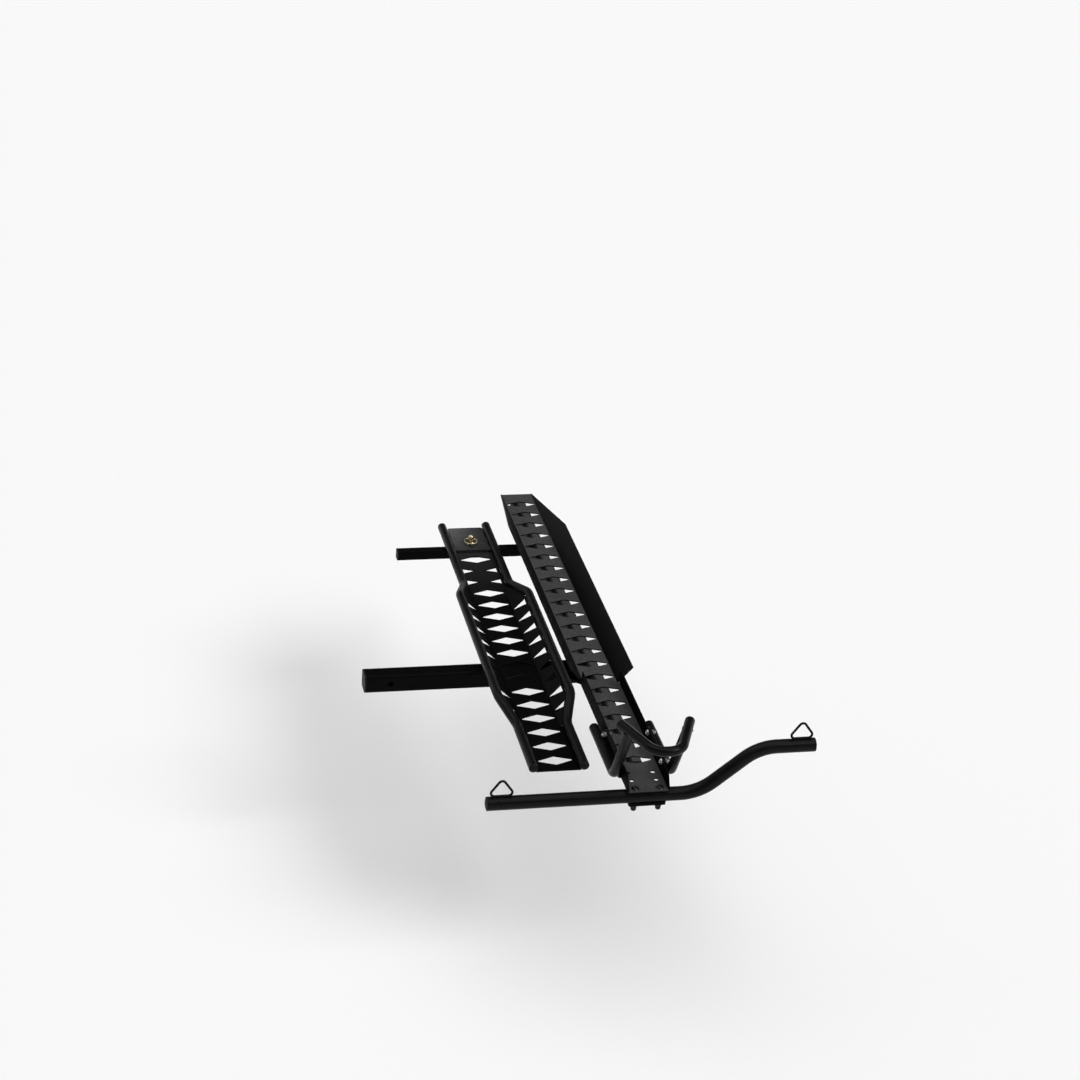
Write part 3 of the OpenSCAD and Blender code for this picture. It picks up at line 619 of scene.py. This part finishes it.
chock_r = 0.0125
hoop_bead = 0.0048
hoop_steps = 30
hoop_lean = 0.6
rail_half = 0.0715
rail_corner = Vector((0, -0.572, 0.036))
hoop_back = Vector((0.086, -0.640, 0.221))
hoop_turn = Vector((0.032, -0.771, 0.219))
hoop_way = (hoop_turn - hoop_back).normalized()
upright_top = hoop_back + (hoop_turn - hoop_back) * (hoop_back.x - rail_half) / (hoop_back.x - hoop_turn.x)
upright_way = (upright_top - rail_corner - Vector((rail_half, 0, 0))).normalized()
hoop_beads = []
for side in (-1, 1):
    mirror = Vector((side, 1, 1))
    hoop = hoop_way * mirror
    upright = upright_way * mirror
    top = upright_top * mirror + Vector((track_x, 0, 0))
    first = upright.orthogonal().normalized()
    second = upright.cross(first)
    lean = upright - hoop * upright.dot(hoop)
    ring = []
    outs = []
    for i in range(hoop_steps):
        spoke = first * cos(2 * pi * i / hoop_steps) + second * sin(2 * pi * i / hoop_steps)
        flat = spoke - hoop * spoke.dot(hoop)
        share = flat.dot(lean)
        room = share * share - lean.length_squared * (flat.length_squared - 1)
        down = (share + sqrt(max(0, room))) / lean.length_squared
        ring.append(top + (spoke - upright * down) * chock_r)
        outs.append((spoke - upright * hoop_lean).normalized())
    hoop_beads += looped_weld(ring, outs)
weld_beads("weld_chock_hoop", "carrier", hoop_beads, hoop_bead)

lug_weld = 0.038
lug_bead = 0.005
lug_inset = 0.006
lug_side = 0.0022
lug_rise = 0.0075
lug_lean = 1.6
lug_beads = []
for name, side in (("chock_lug_left", -1), ("chock_lug_right", 1)):
    low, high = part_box(name)
    face = high.x if side > 0 else low.x
    x = face + side * lug_side
    starts = (low.y + lug_inset, (low.y + high.y) / 2 - lug_weld / 2, high.y - lug_inset - lug_weld)
    for z, face_out in ((rail_corner.z + lug_rise, 1), (rail_corner.z - lug_rise, -1)):
        out = Vector((side, 0, lug_lean * face_out)).normalized()
        for start in starts:
            lug_beads += straight_weld((x, start, z), (x, start + lug_weld, z), out)
weld_beads("weld_chock_lugs", "carrier", lug_beads, lug_bead)

zinc_dark = (0.50, 0.51, 0.53, 1)
zinc_light = (0.68, 0.69, 0.71, 1)
zinc = plated("bright_zinc", zinc_dark, zinc_light, zinc_scale)
chock_d = 0.008
chock_pitch = 0.00125
chock_neck = 0.006
chock_socket = 0.0025
dome = (0.0085, 0.006)
wall_face = 0.050
lug_face = 0.059
bolt_low, bolt_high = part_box("chock_bolts")
bolt_z = (bolt_low.z + bolt_high.z) / 2
bolts_y = [bolt_low.y + dome[0], bolt_high.y - dome[0]]
reach = bolt_high.x - track_x - wall_face
dome_bolt = domed_bolt("dome_bolt", chock_d, chock_pitch, dome, chock_neck, reach, chock_socket)
seats = [((track_x - side * wall_face, y, bolt_z), (side, 0, 0)) for side in (-1, 1) for y in bolts_y]
place_copies("chock_bolts_turned", dome_bolt, seats, zinc, "chock_bolts")
seats = [((track_x + side * lug_face, y, bolt_z), (side, 0, 0)) for side in (-1, 1) for y in bolts_y]
place_copies("chock_nuts_turned", nut_on_washer(chock_d), seats, zinc, "chock_nuts")

# Ramp arm and stud: a light square tube welded to the spine's side and coated with the frame.
# The round-topped stud on it, which the stowed ramp drops over, is turned steel with a yellow zinc plate.
dress(deep_coat, "ramp_arm")

brass_dark = (0.42, 0.33, 0.16, 1)
brass_light = (0.82, 0.74, 0.52, 1)
brass_scale = 140
yellow_zinc = plated("yellow_zinc_plate", brass_dark, brass_light, brass_scale, dull=(0.12, 0.24))
dress(yellow_zinc, "ramp_stud")

arm_low, arm_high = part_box("ramp_arm")
stud_low, stud_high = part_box("ramp_stud")
stud = (stud_low + stud_high) / 2
stud_r = (stud_high.x - stud_low.x) / 2
stud_steps = 24
ramp_arm_bead = 0.005
arm_bead_top = arm_high.z - 0.009
ramp_arm_beads = straight_weld((arm_high.x, arm_low.y, arm_low.z), (arm_high.x, arm_high.y, arm_low.z),
                               Vector((-1, 0, -1)).normalized())
for y, side in ((arm_low.y, -1), (arm_high.y, 1)):
    ramp_arm_beads += straight_weld((arm_high.x, y, arm_low.z), (arm_high.x, y, arm_bead_top),
                                    Vector((-1, side, 0)).normalized())
ring = []
outs = []
for i in range(stud_steps):
    spoke = Vector((cos(2 * pi * i / stud_steps), sin(2 * pi * i / stud_steps), 0))
    ring.append(Vector((stud.x, stud.y, stud_low.z)) + spoke * stud_r)
    outs.append((spoke + Vector((0, 0, 1))).normalized())
weld_beads("weld_ramp_arm", "carrier", ramp_arm_beads + looped_weld(ring, outs), ramp_arm_bead)

# Loading ramp: a flat deck and two flared wings, laser cut from 3 mm sheet, between two kinked rails of round
# tube, all stitched together with short welds on the upper side. The sheet has the deep black coat, with a
# grey painted reflection on its upward faces towards the far end. The reflection is brighter on the tab with
# the stud's hole, where it fades to painted shade towards the right and near sides.
dress(deep_coat, "ramp_wing_left", "ramp_wing_right")
dress(coat, "ramp_rail_left", "ramp_rail_right")
tab_low, tab_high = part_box("ramp_tab")
# Painted reflection and shade on the tab: grey on its upward faces and lightest at the far left corner. It is
# darker to the right, as painted shadow of the right rail, and darker towards the near side.
bright_sheen_dark = (0.045, 0.045, 0.046, 1)
bright_sheen_light = (0.150, 0.150, 0.153, 1)
dim_sheen_dark = (0.008, 0.008, 0.008, 1)
dim_sheen_light = (0.034, 0.034, 0.035, 1)
sheen_leftward = ("Object", "X", tab_high.x, tab_low.x)
sheen_farward = ("Object", "Y", tab_low.y - 0.03, tab_high.y)
tab_painted_reflection = powder_coat("tab_painted_reflection", bright_sheen_dark, bright_sheen_light, shine=0.06, gloss=(0.40, 0.55),
                          grain=0.7, peel=0.5, base=(dim_sheen_dark, dim_sheen_light),
                          fades=[upward, sheen_leftward, sheen_farward])
dress(tab_painted_reflection, "ramp_tab")
# Painted reflection on the deck: its upward faces turn grey towards the far end.
sheen_endward = ("Object", "Y", 0.34, 0.66)
deck_painted_reflection = powder_coat("deck_painted_reflection", dim_sheen_dark, dim_sheen_light, shine=0.03, gloss=(0.30, 0.42),
                           grain=0.85, peel=0.4, base=(deep_dark, deep_light), fades=[upward, sheen_endward])
dress(deck_painted_reflection, "ramp_deck")

deck_low, deck_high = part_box("ramp_deck")
tab_half = (tab_high.x - tab_low.x) / 2
rail_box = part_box("ramp_rail_right")
ramp_x = (deck_low.x + deck_high.x) / 2
deck_half = (deck_high.x - deck_low.x) / 2
rail_r = 0.012
wing_foot = 0.048
rail_wide = rail_box[1].x - ramp_x - rail_r
rail_high = rail_box[1].z - rail_r
wide_near = -0.217
wide_far = 0.337
kink = 0.101
ramp_stitch = 0.030
deck_bead = 0.0052
wing_bead = 0.0064
seam_in = 0.0004
deck_lift = 0.0006
tab_lift = 0.0004
wing_lift = 0.0012
deck_lean = 0.8
near_inset = 0.012
far_inset = 0.044
kink_before = 0.040
kink_after = 0.030
kink_half = 0.010
kink_sink = 0.001
wing_inset = 0.030
wing_stitches = 5
tab_inset = 0.020
tab_far_inset = 0.060
wing_rise = Vector((rail_wide - wing_foot, 0, rail_high - (deck_low.z + deck_high.z) / 2)).normalized()
wing_out = Vector((-wing_rise.z, 0, wing_rise.x))
deck_beads = []
wing_beads = []
for side in (-1, 1):
    x = ramp_x + side * (deck_half - seam_in)
    z = deck_high.z + deck_lift
    out = Vector((-deck_lean * side, 0, 1)).normalized()
    near_end = wide_near - kink
    far_end = wide_far + kink
    near_starts = [deck_low.y + near_inset, (deck_low.y + near_end) / 2, near_end - kink_before]
    far_starts = [far_end + kink_after, (far_end + deck_high.y) / 2, deck_high.y - far_inset]
    for start in near_starts + far_starts:
        deck_beads += straight_weld((x, start, z), (x, start + ramp_stitch, z), out)
    for end in (near_end, far_end):
        deck_beads += straight_weld((x, end - kink_half, z - kink_sink), (x, end + kink_half, z - kink_sink),
                                    out)
    edge = Vector((rail_wide, 0, rail_high)) - wing_rise * rail_r + wing_out * wing_lift
    foot = Vector((ramp_x + side * edge.x, 0, edge.z))
    face = Vector((side * wing_out.x, 0, wing_out.z))
    wing_run = wide_far - wide_near - 2 * wing_inset - ramp_stitch
    for i in range(wing_stitches):
        start = foot + Vector((0, wide_near + wing_inset + i * wing_run / (wing_stitches - 1), 0))
        wing_beads += straight_weld(start, start + Vector((0, ramp_stitch, 0)), face)
    for end, wide_end in ((near_end, wide_near), (far_end, wide_far)):
        wing_beads += straight_weld((x, end, z), foot + Vector((0, wide_end, 0)), face)
    tab_x = ramp_x + side * (tab_half - seam_in)
    for start in (tab_low.y + tab_inset, tab_high.y - tab_far_inset):
        seam = Vector((tab_x, start, tab_high.z + tab_lift))
        deck_beads += straight_weld(seam, seam + Vector((0, ramp_stitch, 0)), out)
weld_beads("weld_ramp_deck", "ramp", deck_beads, deck_bead)
weld_beads("weld_ramp_wings", "ramp", wing_beads, wing_bead)

# Linch pin and its spring ring: turned and bent steel with the same yellow zinc plate as the stud, duller on
# the ring's spring wire. The ring snaps down round the stud and keeps the pin in.
dress(yellow_zinc, "linch_pin")
ring_zinc = plated("dull_yellow_zinc", brass_dark, brass_light, brass_scale, dull=(0.38, 0.52))
dress(ring_zinc, "linch_ring")

# Pale floor: one wide matt plane, set below the carrier by about the height of a hitch over the ground.
# It keeps the carrier's soft shadow, and it shows pale through the cut-outs of track and ramp.
floor_size = 80
floor_drop = 0.50
floor_dull = 0.9
floor_colour = (0.96, 0.96, 0.96, 1)
deselect()
bpy.ops.mesh.primitive_plane_add(size=floor_size, location=(0, 0, cad_box[0].z - floor_drop))
floor = bpy.context.object
floor.name = "floor"
floor_finish, floor_shader = new_finish("pale_floor")
floor_shader.inputs["Base Color"].default_value = floor_colour
floor_shader.inputs["Roughness"].default_value = floor_dull
floor_shader.inputs["Specular IOR Level"].default_value = 0
floor.data.materials.append(floor_finish)

# Soft light: a studio that is bright overhead and low round the horizon and dim between, as with a large soft
# box above the part, then a wide key from the near right and a wider fill from the far left.
room_light = 1.60
room_bands = ((0.0, 0.60), (0.10, 0.60), (0.20, 0.02), (0.74, 0.02), (0.90, 1.0))
lamps = (("key", 1.5, 24, 48, 52), ("fill", 0.5, 60, 50, -130))
scene = bpy.context.scene
scene.view_settings.view_transform = "Standard"
room = bpy.data.worlds.new("studio")
room.use_nodes = True
scene.world = room
background = room.node_tree.nodes["Background"]
background.inputs["Strength"].default_value = room_light
way = room.node_tree.nodes.new("ShaderNodeTexCoord")
split = room.node_tree.nodes.new("ShaderNodeSeparateXYZ")
bands = room.node_tree.nodes.new("ShaderNodeValToRGB")
while len(bands.color_ramp.elements) < len(room_bands):
    bands.color_ramp.elements.new(1)
for stop, (height, level) in zip(bands.color_ramp.elements, room_bands):
    stop.position = height
    stop.color = (level, level, level, 1)
room.node_tree.links.new(way.outputs["Generated"], split.inputs["Vector"])
room.node_tree.links.new(split.outputs["Z"], bands.inputs["Fac"])
room.node_tree.links.new(bands.outputs["Color"], background.inputs["Color"])

for name, power, spread, tilt, turn in lamps:
    deselect()
    bpy.ops.object.light_add(type="SUN", rotation=(radians(tilt), 0, radians(turn)))
    lamp = bpy.context.object
    lamp.name = name
    lamp.data.energy = power
    lamp.data.angle = radians(spread)

# Camera: at the photograph's place, high and near the chock's end, with a long lens.
# Its place and turn were fitted to the shank, the track, the ramp and the bar.
camera_place = (-1.01107, -5.73259, 3.34471)
camera_turn = (63.3744, -3.7640, -11.7246)
camera_lens = 85.202
camera_sensor = 36
camera_far = 200
deselect()
bpy.ops.object.camera_add(location=camera_place, rotation=[radians(a) for a in camera_turn])
camera = bpy.context.object
camera.data.lens = camera_lens
camera.data.sensor_width = camera_sensor
camera.data.clip_end = camera_far
scene.camera = camera
